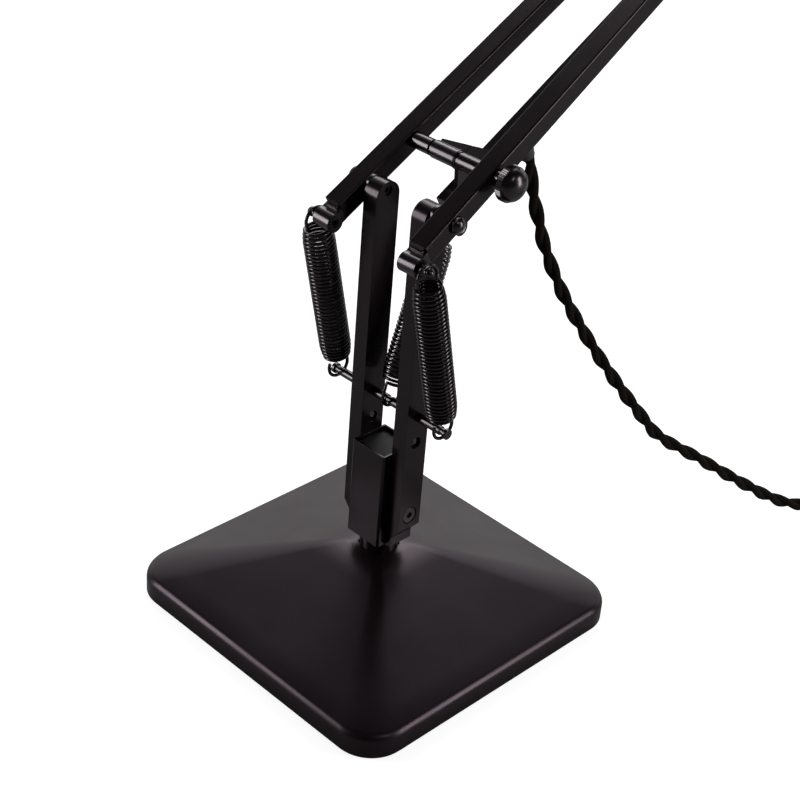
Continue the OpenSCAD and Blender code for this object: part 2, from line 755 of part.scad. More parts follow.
module lampholder() {
    color([0.12, 0.12, 0.12]) shade_frame() translate([0, -shade_reach, 0]) difference() {
        union() {
            translate([0, 0, lamp_z]) cylinder(h = -shade_t - 0.1 - lamp_z + shoulder_z, r = holder_tube_r);
            translate([0, 0, shoulder_z - 2]) cylinder(h = switch_top - shoulder_z + 2, r = 7.8);
        }
        translate([0, 0, lamp_z - cut]) cylinder(h = 9 + cut, r = 13.4);
    }
}
module bulb() {
    bulb_z = lamp_z - 6 - bulb_r;
    color([0.96, 0.95, 0.90]) shade_frame() translate([0, -shade_reach, 0]) {
        translate([0, 0, bulb_z]) sphere(r = bulb_r);
        translate([0, 0, bulb_z]) cylinder(h = bulb_r + 4, r1 = bulb_r * 0.93, r2 = 13);
        translate([0, 0, lamp_z - 4]) cylinder(h = 12.7, r = 13.1);
    }
}
button_travel = 2;
module switch_button() {
    button_r = 5;
    color(gloss_black) shade_frame() translate([0, -shade_reach, 0]) {
        translate([0, 0, holder_cap_z - 0.5]) cylinder(h = holder_top + 4 - holder_cap_z + 0.5, r = button_r);
        translate([0, 0, holder_cap_z - seat - 1.1]) cylinder(h = 1.1, r = button_r + 2);
        translate([0, 0, switch_top + button_travel + 0.5])
            cylinder(h = holder_cap_z - switch_top - button_travel - 1, r = 2.5);
        translate([0, 0, holder_top + 4]) dome_up(button_r, 1.2);
    }
}

// ---- springs ----
// Coil drawn as a ribbed tube with drawn-in ends, from z0 up to z1
module coil(z0, z1, turns) {
    tip_r = coil_r - 2.4;
    taper = 8;
    wall = wire_d + 0.2;
    core = coil_r - 0.55;
    step = (z1 - z0 - 2 * taper) / turns;
    ribs = [for (k = [0 : turns - 1]) each
        [[core, z0 + taper + k * step], [coil_r, z0 + taper + (k + 0.5) * step]]];
    rotate_extrude($fn = 40) polygon(concat(
        [[0, z0], [tip_r - 0.8, z0], [tip_r, z0 + 0.8]], ribs,
        [[core, z1 - taper], [tip_r, z1 - 0.8], [tip_r - 0.8, z1], [0, z1],
         [0, z1 - 1.2], [tip_r - wall, z1 - 1.2], [coil_r - wall, z1 - taper],
         [coil_r - wall, z0 + taper], [tip_r - wall, z0 + 1.2], [0, z0 + 1.2]]));
}
// Wire eye about X at height z, with its shank running to height z_end
module eye(z, z_end) {
    translate([0, 0, z]) rotate([0, 90, 0]) rotate_extrude($fn = 40)
        translate([eye_r, 0]) circle(r = wire_d / 2, $fn = 16);
    shank_0 = z_end > z ? z + eye_r : z_end;
    shank_1 = z_end > z ? z_end : z - eye_r;
    translate([0, 0, shank_0]) cylinder(h = shank_1 - shank_0, r = wire_d / 2, $fn = 24);
}
function span_len(a, b) = norm(b - a);
function span_tilt(a, b) = atan2(b[0] - a[0], b[1] - a[1]);
// Frame of a spring: Z from the low pin to the high pin
module spring_frame(x, low, high) {
    translate([x, low[0], low[1]]) rotate([-span_tilt(low, high), 0, 0]) children();
}
outer_len = span_len(rod_p, tail_p);
middle_len = span_len(rod_p, lever_p);
low_eye = eye_in - rod_groove_r - seat;
tail_eye = eye_in - pin_groove_r - seat;
lever_eye = eye_in - (link_pin_d / 2 - 0.4) - seat;
// Wire between each eye and its coil: at the rod, the tail pins and the lever
rod_shank = 2.6;
tail_shank = 0.9;
lever_shank = 3.4;
coil_low = low_eye + eye_r + wire_d / 2 + rod_shank;
outer_coil_high = outer_len - tail_eye - eye_r - wire_d / 2 - tail_shank;
middle_coil_high = middle_len - lever_eye - eye_r - wire_d / 2 - lever_shank;
module spring_left() {
    color(spring_black) spring_frame(-spring_x, rod_p, tail_p) coil(coil_low, outer_coil_high, outer_turns);
}
module spring_right() {
    color(spring_black) spring_frame(spring_x, rod_p, tail_p) coil(coil_low, outer_coil_high, outer_turns);
}
module spring_middle() {
    color(spring_black) spring_frame(0, rod_p, lever_p) coil(coil_low, middle_coil_high, middle_turns);
}
module outer_upper_hooks() {
    color(spring_black) for (x = [-spring_x, spring_x]) spring_frame(x, rod_p, tail_p)
        eye(outer_len - tail_eye, outer_coil_high);
}
module outer_lower_hooks() {
    color(spring_black) for (x = [-spring_x, spring_x]) spring_frame(x, rod_p, tail_p)
        eye(low_eye, coil_low);
}
module middle_upper_hook() {
    color(spring_black) spring_frame(0, rod_p, lever_p) eye(middle_len - lever_eye, middle_coil_high);
}
module middle_lower_hook() {
    color(spring_black) spring_frame(0, rod_p, lever_p) eye(low_eye, coil_low);
}

// ---- cord ----
gland_len = 6;
// Tapered bush where the cord leaves the underside of the right arm
module cord_gland() {
    neck = cord_d / 2 + 0.1;
    color(gloss_black) bar_frame() translate([0, gland_s, -bar_d / 2]) rotate([180, 0, 0]) difference() {
        union() {
            translate([0, 0, -bar_wall - 1]) cylinder(h = bar_wall + 2, r = neck);
            cylinder(h = 1.4, r = neck + 1.2);
            translate([0, 0, 1.4]) cylinder(h = gland_len - 1.4, r1 = neck + 1, r2 = neck + 0.4);
        }
        translate([0, 0, -bar_wall - 2]) cylinder(h = 3, r = cord_d / 2 - 0.9);
    }
}
// Cord's route, from the bush's mouth down to the floor and on into the coil
arm_n = [0, -sin(arm_angle), cos(arm_angle)];
gland_mouth = [bar_x - gland_s * sin(bar_taper), pivot_p[0], pivot_p[1]]
    + gland_s * cos(bar_taper) * [0, cos(arm_angle), sin(arm_angle)]
    - (bar_d / 2 + gland_len + 0.2) * arm_n;
coil_at = [176, 330];
coil_mid_r = 38;
coil_half_w = 7;
coil_h = 20;
cord_route = [
    gland_mouth, gland_mouth - 3 * arm_n, gland_mouth - 6 * arm_n,
    [27, 56, 231], [29, 61, 214], [31, 67, 197], [36, 79, 171], [42, 96, 143], [49, 114, 116],
    [55, 132, 92], [60, 147, 74], [70, 175, 53], [81, 204, 31], [90, 230, 13], [97, 249, 4.4],
    [104, 268, 3.4], [112, 286, 3.4], [124, 307, 3.4], [134, 325, 3.4], [138, 342, 3.4]];
function curve_point(c, i, t) = let (
    a = c[max(i - 1, 0)], b = c[i], d = c[i + 1], e = c[min(i + 2, len(c) - 1)])
    0.5 * ((2 * b) + (d - a) * t + (2 * a - 5 * b + 4 * d - e) * t * t
           + (3 * b - a - 3 * d + e) * t * t * t);
function smooth(c, steps) = concat(
    [for (i = [0 : len(c) - 2], k = [0 : steps - 1]) curve_point(c, i, k / steps)],
    [c[len(c) - 1]]);
function unit(v) = v / norm(v);
function ring_at(c, i, r, sides) = let (
    f = unit(c[min(i + 1, len(c) - 1)] - c[max(i - 1, 0)]),
    side = unit(cross(f, [0, 0, 1])), up = cross(side, f))
    [for (k = [0 : sides - 1]) c[i] + r * (cos(k * 360 / sides) * side + sin(k * 360 / sides) * up)];
module tube(c, r, sides = 8) {
    n = len(c);
    rings = [for (i = [0 : n - 1]) each ring_at(c, i, r, sides)];
    walls = [for (i = [0 : n - 2], k = [0 : sides - 1])
        [i * sides + k, i * sides + (k + 1) % sides,
         (i + 1) * sides + (k + 1) % sides, (i + 1) * sides + k]];
    low_cap = [for (k = [sides - 1 : -1 : 0]) k];
    high_cap = [for (k = [0 : sides - 1]) (n - 1) * sides + k];
    polyhedron(rings, concat(walls, [low_cap], [high_cap]));
}
module cord() {
    color([0.13, 0.12, 0.11]) tube(smooth(cord_route, 2), cord_d / 2);
}
module cord_coil() {
    color([0.13, 0.12, 0.11]) translate([coil_at[0], coil_at[1], 0]) rotate_extrude()
        translate([coil_mid_r - coil_half_w, 0]) square([2 * coil_half_w, coil_h]);
}
// Plug beside the coil: its body, the sleeve the cord comes out of, and its two pins
mains_len = 34;
mains_w = 24;
mains_h = 26;
sleeve_len = 24;
sleeve_r = 5.5;
pin_len = 19;
pin_r = 2.4;
pin_pitch = 19;
// Lead from the coil's outer turn to the plug
tail_start = [coil_at[0] + coil_mid_r + coil_half_w / 2, coil_at[1] - 14, mains_h / 2];
plug_at = tail_start - [0, sleeve_len + 24, 0];
module cord_tail() {
    color([0.13, 0.12, 0.11]) translate(tail_start) rotate([90, 0, 0])
        cylinder(h = tail_start[1] - plug_at[1] - sleeve_len, r = cord_d / 2);
}
module plug() {
    color(gloss_black) translate(plug_at) {
        translate([-mains_w / 2, -mains_len, -mains_h / 2]) cube([mains_w, mains_len, mains_h]);
        rotate([-90, 0, 0]) cylinder(h = sleeve_len, r1 = sleeve_r, r2 = cord_d / 2 + 0.6);
    }
}
module plug_pins() {
    color(steel) translate(plug_at - [0, mains_len, 0]) for (z = [-pin_pitch / 2, pin_pitch / 2])
        translate([0, 0, z]) rotate([90, 0, 0]) cylinder(h = pin_len, r = pin_r);
}

base_shell();
base_weight();
base_pad();
base_screws();
swivel_collar();
swivel_spigot();
spigot_nut();
stem_block();
stem_cover();
upright_left();
upright_right();
stem_bolts();
stem_screws();
spring_rod();
arm_bar_left();
arm_bar_right();
tail_end_left();
tail_end_right();
tail_pins();
pivot_bolts();
pivot_washers();
crossbar_shaft();
crossbar_spacers();
tension_knob();
crank_hub();
grub_screw();
balance_crank();
crank_pins();
link_bar();
elbow_plugs();
elbow_bolt();
elbow_spacers();
upper_arm_tube();
elbow_lug();
lug_pin();
arm_end_fork();
shade_pivot_bolt();
shade_holder();
shade();
shade_ring();
lampholder();
bulb();
switch_button();
spring_left();
spring_right();
spring_middle();
outer_upper_hooks();
outer_lower_hooks();
middle_upper_hook();
middle_lower_hook();
cord_gland();
cord();
cord_coil();
cord_tail();
plug();
plug_pins();
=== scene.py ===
# %% [markdown]
# # A spring-balanced desk lamp
# The lamp is a weighted square foot, a stem of two uprights, a pair of lower arms that lean back, a
# single upper arm and a spun shade. Its solids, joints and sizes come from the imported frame. This file
# gives every piece its finish and models the forms that need more than a plain solid: the soft foot, the
# wound springs, the knurled knob, the spun shade and the twisted flex.

# %% Load the frame
import json
from math import atan2, cos, pi, radians, sin

import bpy
from mathutils import Matrix, Vector


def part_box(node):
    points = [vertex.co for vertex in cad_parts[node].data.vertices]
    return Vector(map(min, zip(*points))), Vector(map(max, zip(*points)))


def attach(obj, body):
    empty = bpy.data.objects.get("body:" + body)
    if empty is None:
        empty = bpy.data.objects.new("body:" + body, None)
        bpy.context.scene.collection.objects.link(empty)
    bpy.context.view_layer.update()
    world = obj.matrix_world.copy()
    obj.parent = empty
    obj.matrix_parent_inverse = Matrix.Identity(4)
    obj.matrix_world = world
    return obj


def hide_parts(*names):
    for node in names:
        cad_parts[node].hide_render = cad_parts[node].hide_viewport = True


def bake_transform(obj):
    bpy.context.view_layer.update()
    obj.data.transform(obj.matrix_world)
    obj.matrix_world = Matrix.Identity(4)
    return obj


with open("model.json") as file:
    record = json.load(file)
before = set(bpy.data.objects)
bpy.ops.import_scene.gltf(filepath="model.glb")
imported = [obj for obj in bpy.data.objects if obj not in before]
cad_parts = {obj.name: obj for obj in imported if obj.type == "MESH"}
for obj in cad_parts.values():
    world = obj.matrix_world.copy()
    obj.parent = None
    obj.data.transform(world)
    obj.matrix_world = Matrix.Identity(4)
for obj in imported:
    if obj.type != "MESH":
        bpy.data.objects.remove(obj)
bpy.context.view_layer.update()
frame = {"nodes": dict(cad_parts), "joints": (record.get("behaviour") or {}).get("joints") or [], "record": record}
nodes = frame["nodes"]
record = frame["record"]
body_of_node = {node: body for body, members in record["behaviour"]["bodies"].items() for node in members}
slot_of_node = {part["node"]: part["material_slot"] for part in record["subparts"]}

# %% [markdown]
# ## Where things are
# Every joint in the frame has a place, so the pins and pivots need no numbers of their own. Two more
# places follow from them: the middle spring's pin on the crank, and the mouth of the bush that the flex
# leaves by.

# %% Places of the pins and pivots
MM = 0.001
joint_at = {j["name"]: Vector(j.get("pos_m", (0, 0, 0))) for j in frame["joints"]}


def on_midplane(joint_name):
    """The joint's place, moved sideways to the lamp's plane of symmetry."""
    return Vector((0, *joint_at[joint_name][1:]))


pivot = on_midplane("arm_tilt")
elbow = on_midplane("elbow")
crossbar = on_midplane("crank_turn")
rod = on_midplane("middle_spring_swing")
tail_pin = on_midplane("outer_spring_swing")
shade_pivot = on_midplane("shade_tilt")
arm_along = (elbow - pivot).normalized()
arm_up = Vector((0, -arm_along.z, arm_along.y))
lever_reach = 34 * MM
lever_turn = radians(243)
lever_pin = crossbar + lever_reach * (cos(lever_turn) * arm_along + sin(lever_turn) * arm_up)
print("elbow", tuple(round(v, 4) for v in elbow), "lever pin", tuple(round(v, 4) for v in lever_pin))

# %% [markdown]
# ## The camera
# A long lens from above and to the right of the bare front, rolled a little. A camera looks along its own
# -Z, so it is turned about Z by the azimuth, tipped up from straight down, and rolled about its own axis.

# %% Camera
camera_place = (0.49035, -0.51631, 0.56454)
view_azimuth, view_elevation, view_roll = radians(43.13), radians(31.72), radians(4.68)
camera_data = bpy.data.cameras.new("camera")
camera_data.sensor_width = 36
camera_data.lens = 77.66
camera_data.clip_start = 0.05
camera = bpy.data.objects.new("camera", camera_data)
bpy.context.scene.collection.objects.link(camera)
turn = (Matrix.Rotation(view_azimuth, 4, "Z") @ Matrix.Rotation(pi / 2 - view_elevation, 4, "X")
        @ Matrix.Rotation(view_roll, 4, "Z"))
camera.matrix_world = Matrix.Translation(camera_place) @ turn
bpy.context.scene.camera = camera
print("camera at", tuple(round(v, 3) for v in camera.location))

# %% [markdown]
# ## Small helpers
# Operators act on whatever is selected, so each step starts by choosing one object. A finished piece has
# its place in its mesh and its object at the origin, rides on a body, and takes its finish from a named
# slot.

# %% Helpers for choosing and placing
near = 0.01 * MM  # two places closer than this count as one
facing = 0.9      # a face looks along an axis when this much of its normal lies on it


def choose(*objects):
    if bpy.context.object and bpy.context.object.mode != "OBJECT":
        bpy.ops.object.mode_set(mode="OBJECT")
    bpy.ops.object.select_all(action="DESELECT")
    for o in objects:
        o.select_set(True)
    bpy.context.view_layer.objects.active = objects[0] if objects else None


def edit_all(piece):
    """Opens the piece's mesh with all of it selected."""
    choose(piece)
    bpy.ops.object.mode_set(mode="EDIT")
    bpy.ops.mesh.select_all(action="SELECT")


def face_outwards():
    """Turns all faces of the open mesh outwards."""
    bpy.ops.mesh.select_all(action="SELECT")
    bpy.ops.mesh.normals_make_consistent(inside=False)


def apply_modifiers(piece):
    choose(piece)
    for modifier in list(piece.modifiers):
        bpy.ops.object.modifier_apply(modifier=modifier.name)


def bake_place(piece, matrix=Matrix.Identity(4)):
    """Moves the piece by the matrix and writes its place into its mesh."""
    choose(piece)
    piece.matrix_world = matrix @ piece.matrix_world
    bpy.ops.object.transform_apply(location=True, rotation=True, scale=True)


def smooth(piece, angle):
    """Shades the piece smooth and keeps the edges that turn by more degrees than angle."""
    choose(piece)
    bpy.ops.object.shade_smooth_by_angle(angle=radians(angle))


def frame_along(origin, axis, side=Vector((1, 0, 0))):
    """A matrix that puts local Z along axis and local X as near to side as it can."""
    z = Vector(axis).normalized()
    x = (side - side.dot(z) * z).normalized()
    y = z.cross(x)
    return Matrix.Translation(origin) @ Matrix((x, y, z)).transposed().to_4x4()


# %% [markdown]
# ## The flex's route
# A lamp of this kind has about 1.8 m of twisted two-core flex. It leaves the right arm through a bush,
# falls in one long curve to the table and runs off to the side, where the rest is wound into a flat coil
# with the plug beside it. The points down to the coil are listed, and the coil's turns are worked
# out: five and a half turns, two side by side and three high.

# %% Route of the flex
bush_x, bush_along, bush_length = 25.38 * MM, 53 * MM, 6 * MM
bar_half_depth, mouth_gap = 5.1 * MM, 0.2 * MM
bar_lean = 0.9996  # the cosine of the small angle at which the bar leans towards its twin
bar_at_bush = Vector((bush_x, 0, 0)) + pivot + bar_lean * bush_along * arm_along
bush_mouth = bar_at_bush - (bar_half_depth + bush_length + mouth_gap) * arm_up
hand_points = [(27, 56, 231), (29, 61, 214), (31, 67, 197), (36, 79, 171), (42, 96, 143), (49, 114, 116),
               (55, 132, 92), (60, 147, 74), (70, 175, 53), (81, 204, 31), (90, 230, 13), (97, 249, 4.6),
               (104, 268, 3.8), (112, 286, 3.8), (123, 306, 3.8), (131, 321, 3.8)]
coil_centre = Vector((176, 330, 0)) * MM
inner_turn, outer_turn = 34.6 * MM, 41.4 * MM
low_turn, mid_turn, high_turn = 3.8 * MM, 10.3 * MM, 16.8 * MM
coil_turns = [(outer_turn, low_turn), (inner_turn, low_turn), (inner_turn, mid_turn),
              (outer_turn, mid_turn), (outer_turn, high_turn), (outer_turn, high_turn)]
turns_wound = 5.5
coil_steps = 24  # points in one turn of the coil
cross_from = 0.75  # the share of a turn after which the flex crosses to its next place


def eased(t):
    """Runs from 0 to 1 with a soft start and a soft end."""
    t = min(max(t, 0), 1)
    return t * t * (3 - 2 * t)


def coil_point(n):
    """The point n turns round the coil, clockwise from its left side."""
    k = int(n)
    here, after = coil_turns[k], coil_turns[min(k + 1, len(coil_turns) - 1)]
    change = eased((n - k - cross_from) / (1 - cross_from))
    r = here[0] + (after[0] - here[0]) * change
    z = here[1] + (after[1] - here[1]) * change
    angle = pi - 2 * pi * n
    return coil_centre + Vector((r * cos(angle), r * sin(angle), z))


def curve_through(points, spacing):
    """Points about spacing apart on a smooth curve through all the points given."""
    line = []
    for i in range(len(points) - 1):
        a, b = points[max(i - 1, 0)], points[i]
        c, d = points[i + 1], points[min(i + 2, len(points) - 1)]
        steps = max(1, round((c - b).length / spacing))
        for k in range(steps):
            t = k / steps
            line.append(0.5 * (2 * b + (c - a) * t + (2 * a - 5 * b + 4 * c - d) * t * t
                               + (3 * b - a - 3 * c + d) * t ** 3))
    return line + [points[-1]]


plug_low, plug_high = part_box("plug")
plug_x = (plug_low.x + plug_high.x) / 2
plug_z = (plug_low.z + plug_high.z) / 2
coil_line = [coil_point(k / coil_steps) for k in range(int(turns_wound * coil_steps) + 1)]
lead_to_plug = [Vector((plug_x, y * MM, z * MM)) for y, z in ((316, 16.2), (303, 14))]
lead_to_plug.append(Vector((plug_x, plug_high.y - 2 * MM, plug_z)))
route = ([bush_mouth + 3 * MM * arm_up, bush_mouth]
         + [bush_mouth - step * MM * arm_up for step in (3, 6)]
         + [Vector(p) * MM for p in hand_points] + coil_line + lead_to_plug)
flex_line = curve_through(route, spacing=1.8 * MM)

# %% [markdown]
# ## The twisted flex
# Two cloth-covered cores are twisted round each other, one turn in 34 mm. Each core is a tube whose
# centre circles the route, and both are one mesh. The cores are soft, so they are set a little into each
# other. A UV map follows each core, once round and on along it, and carries the braid.

# %% Model the flex
core_radius, core_offset, twist_pitch = 2.05 * MM, 1.5 * MM, 34 * MM
core_sides = 10


def travelling_frames(line):
    """The line's direction at every point, and a side direction that never spins about it."""
    last = len(line) - 1
    tangents = [(line[min(i + 1, last)] - line[max(i - 1, 0)]).normalized() for i in range(len(line))]
    side = tangents[0].orthogonal().normalized()
    sides = []
    for t in tangents:
        side = (side - side.dot(t) * t).normalized()
        sides.append(side)
    return tangents, sides


def tube_along(line, radius, name, sides):
    """A closed tube round a line of points, with a UV map that is measured in the tube's own girth."""
    tangents, side_dirs = travelling_frames(line)
    verts, faces, uvs = [], [], []
    along, girth = [0.0], 2 * pi * radius
    for a, b in zip(line, line[1:]):
        along.append(along[-1] + (b - a).length)
    for i, p in enumerate(line):
        up = tangents[i].cross(side_dirs[i])
        for k in range(sides):
            angle = 2 * pi * k / sides
            verts.append(p + radius * (cos(angle) * side_dirs[i] + sin(angle) * up))
    for i in range(len(line) - 1):
        for k in range(sides):
            k2 = (k + 1) % sides
            faces.append((i * sides + k, i * sides + k2, (i + 1) * sides + k2, (i + 1) * sides + k))
            u0, u1, v0, v1 = k / sides, (k + 1) / sides, along[i] / girth, along[i + 1] / girth
            uvs += [(u0, v0), (u1, v0), (u1, v1), (u0, v1)]
    for ring, flip in ((0, True), (len(line) - 1, False)):
        cap = [ring * sides + k for k in range(sides)]
        faces.append(tuple(cap[::-1] if flip else cap))
        uvs += [(0.5, along[ring] / girth)] * sides
    mesh = bpy.data.meshes.new(name)
    mesh.from_pydata(verts, [], faces)
    layer = mesh.uv_layers.new(name="UVMap")
    for loop, uv in zip(layer.data, uvs):
        loop.uv = uv
    tube = bpy.data.objects.new(name, mesh)
    bpy.context.scene.collection.objects.link(tube)
    return tube


tangents, side_dirs = travelling_frames(flex_line)
cores = []
for core, start in (("a", 0), ("b", pi)):
    centre_line, gone = [], 0.0
    for i, p in enumerate(flex_line):
        gone += (p - flex_line[i - 1]).length if i else 0
        angle = start + 2 * pi * gone / twist_pitch
        up = tangents[i].cross(side_dirs[i])
        centre_line.append(p + core_offset * (cos(angle) * side_dirs[i] + sin(angle) * up))
    cores.append(tube_along(centre_line, core_radius, f"core_{core}", core_sides))
choose(*cores)
bpy.ops.object.join()
flex = bpy.context.object
flex.name = "twisted_flex"
bpy.ops.object.shade_smooth()
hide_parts("cord", "cord_coil", "cord_tail")
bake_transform(flex)
print("flex", len(flex.data.polygons), "faces")

# %% [markdown]
# ## Finishes
# The paint is satin black with a touch of purple-brown in it, sprayed and baked, so it has a fine skin
# like very fine leather. Turned and bought-in parts are glossier. Each finish is a Principled shader
# whose bump and tone come from noise in object coordinates, at the size the real grain has.

# %% Helpers for finishes
def new_material(name, color, roughness, metallic=0.0, coat=0.0, ior=1.5, sheen_tint=(1, 1, 1)):
    material = bpy.data.materials.new(name)
    material.use_nodes = True
    shader = material.node_tree.nodes["Principled BSDF"]
    shader.inputs["Base Color"].default_value = (*color, 1)
    shader.inputs["Roughness"].default_value = roughness
    shader.inputs["Metallic"].default_value = metallic
    shader.inputs["Coat Weight"].default_value = coat
    shader.inputs["Coat Roughness"].default_value = 0.1
    shader.inputs["IOR"].default_value = ior
    shader.inputs["Specular Tint"].default_value = (*sheen_tint, 1)
    return material, material.node_tree, shader


def coordinates(tree, kind):
    return tree.nodes.new("ShaderNodeTexCoord").outputs[kind]


def noise(tree, scale, detail):
    cloud = tree.nodes.new("ShaderNodeTexNoise")
    cloud.inputs["Scale"].default_value = scale
    cloud.inputs["Detail"].default_value = detail
    tree.links.new(coordinates(tree, "Object"), cloud.inputs["Vector"])
    return cloud.outputs["Fac"]


def calculated(tree, kind, operation, *sources):
    """The value of a maths node, whose inputs are other nodes' outputs or plain numbers."""
    node = tree.nodes.new(kind)
    node.operation = operation
    for socket, source in zip(node.inputs, sources):
        if isinstance(source, bpy.types.NodeSocket):
            tree.links.new(source, socket)
        else:
            socket.default_value = source
    return node.outputs["Value"]


def mapped(tree, source, from_low, from_high, to_low, to_high):
    """Maps one range of values to another."""
    ranger = tree.nodes.new("ShaderNodeMapRange")
    ranger.inputs["From Min"].default_value = from_low
    ranger.inputs["From Max"].default_value = from_high
    ranger.inputs["To Min"].default_value = to_low
    ranger.inputs["To Max"].default_value = to_high
    tree.links.new(source, ranger.inputs["Value"])
    return ranger.outputs["Result"]


def spread(tree, cloud, low, high):
    """Maps the range that most of a noise lies in to the range low to high."""
    return mapped(tree, cloud, 0.3, 0.7, low, high)


def bump(tree, shader, height, strength, distance):
    node = tree.nodes.new("ShaderNodeBump")
    node.inputs["Strength"].default_value = strength
    node.inputs["Distance"].default_value = distance
    tree.links.new(height, node.inputs["Height"])
    tree.links.new(node.outputs["Normal"], shader.inputs["Normal"])


def tint(tree, shader, fac, dark, light):
    """A base colour between dark and light."""
    mix = tree.nodes.new("ShaderNodeMix")
    mix.data_type = "RGBA"
    mix.inputs["A"].default_value = (*dark, 1)
    mix.inputs["B"].default_value = (*light, 1)
    tree.links.new(fac, mix.inputs["Factor"])
    tree.links.new(mix.outputs["Result"], shader.inputs["Base Color"])


# %% [markdown]
# Three kinds of finish cover nearly everything: sprayed paint, brushed metal, and plain materials such as
# felt, plastic and ceramic.

# %% Kinds of finish
def sprayed(name, dark, light, rough_low, rough_high, ior, grain=1400, depth=0.25, sheen=(1.0, 0.76, 0.90)):
    """Sprayed paint: a fine skin, and a roughness and tone that drift a little from place to place."""
    material, tree, shader = new_material(name, dark, rough_low, ior=ior, sheen_tint=sheen)
    drift = spread(tree, noise(tree, scale=38, detail=3), rough_low, rough_high)
    tree.links.new(drift, shader.inputs["Roughness"])
    tint(tree, shader, noise(tree, scale=60, detail=4), dark, light)
    bump(tree, shader, noise(tree, grain, detail=3), depth, distance=0.04 * MM)
    return material


def brushed(name, color, roughness):
    """Bare metal, a little smoother in some places and a little rougher in others."""
    material, tree, shader = new_material(name, color, roughness, metallic=1.0)
    drift = spread(tree, noise(tree, scale=900, detail=4), roughness - 0.06, roughness + 0.08)
    tree.links.new(drift, shader.inputs["Roughness"])
    bump(tree, shader, noise(tree, scale=2200, detail=2), strength=0.15, distance=0.02 * MM)
    return material


def plain(name, color, other, roughness, grain, depth):
    """A material of even roughness that varies between two tones, over patches six grains wide."""
    material, tree, shader = new_material(name, color, roughness)
    tint(tree, shader, noise(tree, grain / 6, detail=3), color, other)
    bump(tree, shader, noise(tree, grain, detail=4), depth, distance=0.2 * MM)
    return material


# %% [markdown]
# The black paints differ in roughness, grain and gloss. Felt, moulded plastic, glazed ceramic and opal
# glass are seen only from below or up close.

# %% Finishes
paint_dark, paint_light = (0.0036, 0.0018, 0.0029), (0.0046, 0.0025, 0.0038)
finish = {
    "satin_black": sprayed("satin black paint", paint_dark, paint_light, 0.31, 0.37, ior=1.40),
    "tube_black": sprayed("smooth black paint", paint_dark, paint_light, 0.22, 0.27, ior=1.33,
                          grain=1000, depth=0.15, sheen=(1.0, 0.82, 0.93)),
    "gloss_black": sprayed("gloss black enamel", (0.0032, 0.0017, 0.0027), (0.0040, 0.0023, 0.0034),
                           0.20, 0.27, ior=1.52, grain=1000, depth=0.15, sheen=(1.0, 0.88, 0.96)),
    "spring_black": sprayed("black spring lacquer", (0.0026, 0.0016, 0.0022), (0.0034, 0.0022, 0.0030),
                            0.13, 0.19, ior=1.5, grain=1800, depth=0.2, sheen=(1.0, 0.88, 0.96)),
    "bright_steel": brushed("bright steel", (0.60, 0.60, 0.62), roughness=0.28),
    "iron": brushed("cast iron", (0.09, 0.088, 0.085), roughness=0.6),
    "felt": plain("foot felt", (0.020, 0.019, 0.019), (0.034, 0.032, 0.032),
                  roughness=0.95, grain=2500, depth=0.6),
    "moulding": plain("black moulding", (0.014, 0.013, 0.013), (0.020, 0.019, 0.019),
                      roughness=0.48, grain=1600, depth=0.08),
    "raw_casting": plain("unpolished black casting", (0.006, 0.005, 0.006), (0.010, 0.008, 0.009),
                         roughness=0.75, grain=900, depth=0.2),
    "ceramic": plain("glazed ceramic", (0.76, 0.74, 0.68), (0.82, 0.80, 0.75),
                     roughness=0.22, grain=300, depth=0.03),
}
opal, opal_tree, opal_shader = new_material("opal glass", (0.93, 0.92, 0.88), roughness=0.18, coat=0.4)
opal_cloud = noise(opal_tree, scale=25, detail=2)
tint(opal_tree, opal_shader, opal_cloud, (0.90, 0.89, 0.85), (0.95, 0.94, 0.91))
finish["bulb_glass"] = opal
print("finishes:", ", ".join(m.name for m in finish.values()))

# %% [markdown]
# The flex's braid is two sets of fine diagonal ridges over the UV map. Where the ridges stand high the
# cloth is painted lighter and browner, and between them darker: painted light on the ridge tops and painted shade
# in the hollows.

# %% The flex's braid
ridges_round = 14
cloth, cloth_tree, cloth_shader = new_material("braided flex", (0.02, 0.017, 0.012), roughness=0.85)
cloth_shader.inputs["Specular IOR Level"].default_value = 0.08
uv = coordinates(cloth_tree, "UV")
ridges = []
for lean in (1, -1):
    lay = (ridges_round * lean, ridges_round, 0)
    turns = calculated(cloth_tree, "ShaderNodeVectorMath", "DOT_PRODUCT", uv, lay)
    angle = calculated(cloth_tree, "ShaderNodeMath", "MULTIPLY", turns, 2 * pi)
    ridges.append(calculated(cloth_tree, "ShaderNodeMath", "SINE", angle))
over = calculated(cloth_tree, "ShaderNodeMath", "MAXIMUM", *ridges)
ridge_height_and_shade = mapped(cloth_tree, over, -1, 1, 0, 1)
# The tint follows the ridges' height: painted light on their tops, painted shade in the hollows between them.
tint(cloth_tree, cloth_shader, ridge_height_and_shade, (0.0022, 0.0017, 0.0014), (0.0130, 0.0092, 0.0066))
bump(cloth_tree, cloth_shader, ridge_height_and_shade, strength=0.9, distance=0.3 * MM)
finish["cord_cloth"] = cloth
print("braid of", 2 * ridges_round, "ridges")

# %% [markdown]
# Every solid gets the finish of its slot first. The ones that are worked further on are dressed again.

# %% Dress the solids
def dress(piece, finish_name):
    piece.data.materials.clear()
    piece.data.materials.append(finish[finish_name])


for name, node in nodes.items():
    dress(node, slot_of_node[name])
dress(flex, "cord_cloth")
print("dressed", len(nodes), "solids and the flex")

# %% [markdown]
# ## The foot
# The foot is a heavy casting: a vertical rim with a soft upper edge, and four nearly flat faces that rise
# to a small seat under the stem, with ridges that sharpen as they climb. A square is bevelled at its
# corners and extruded: up for the rim, then up and inwards for the faces, so the corner rounding shrinks
# along each ridge.

